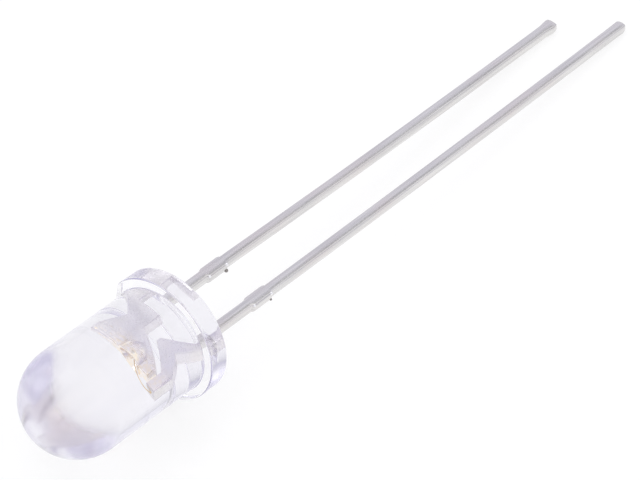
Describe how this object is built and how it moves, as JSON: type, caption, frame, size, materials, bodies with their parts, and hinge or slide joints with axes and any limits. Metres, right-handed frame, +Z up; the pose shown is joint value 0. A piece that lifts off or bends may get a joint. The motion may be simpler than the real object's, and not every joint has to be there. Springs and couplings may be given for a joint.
{
  "type": "through hole led",
  "caption": "Clear through hole LED with a domed lens, a flange with a flat, and two long straight leads, lying as it comes to rest.",
  "frame": {"origin": "centre of the flange's seating face, between the two leads", "axes": "+Z up from the surface it rests on, -Y towards the lens and +Y towards the lead tips, +X towards the anode side. The lamp lies on the rim of its flange and on both lead tips, so its own axis is tipped 5.48 degrees out of Y, lens up, and it is rolled 5.51 degrees about that axis."},
  "size_m": [0.0056, 0.0378, 0.006],
  "materials": {
    "clear_epoxy": "moulded, polished and water clear with a faint lilac tint",
    "tinned_frame": "satin tin plating on the leads, brighter silver plating inside the case",
    "semiconductor": "amber, with sawn sides and a polished top",
    "silver_adhesive": "matt, silver filled",
    "gold_wire": "drawn, bright"
  },
  "bodies": {
    "root": {"epoxy_case": "clear_epoxy", "cathode_frame": "tinned_frame", "anode_frame": "tinned_frame", "die": "semiconductor", "die_attach": "silver_adhesive", "bond_wire": "gold_wire"}
  },
  "joints": []
}
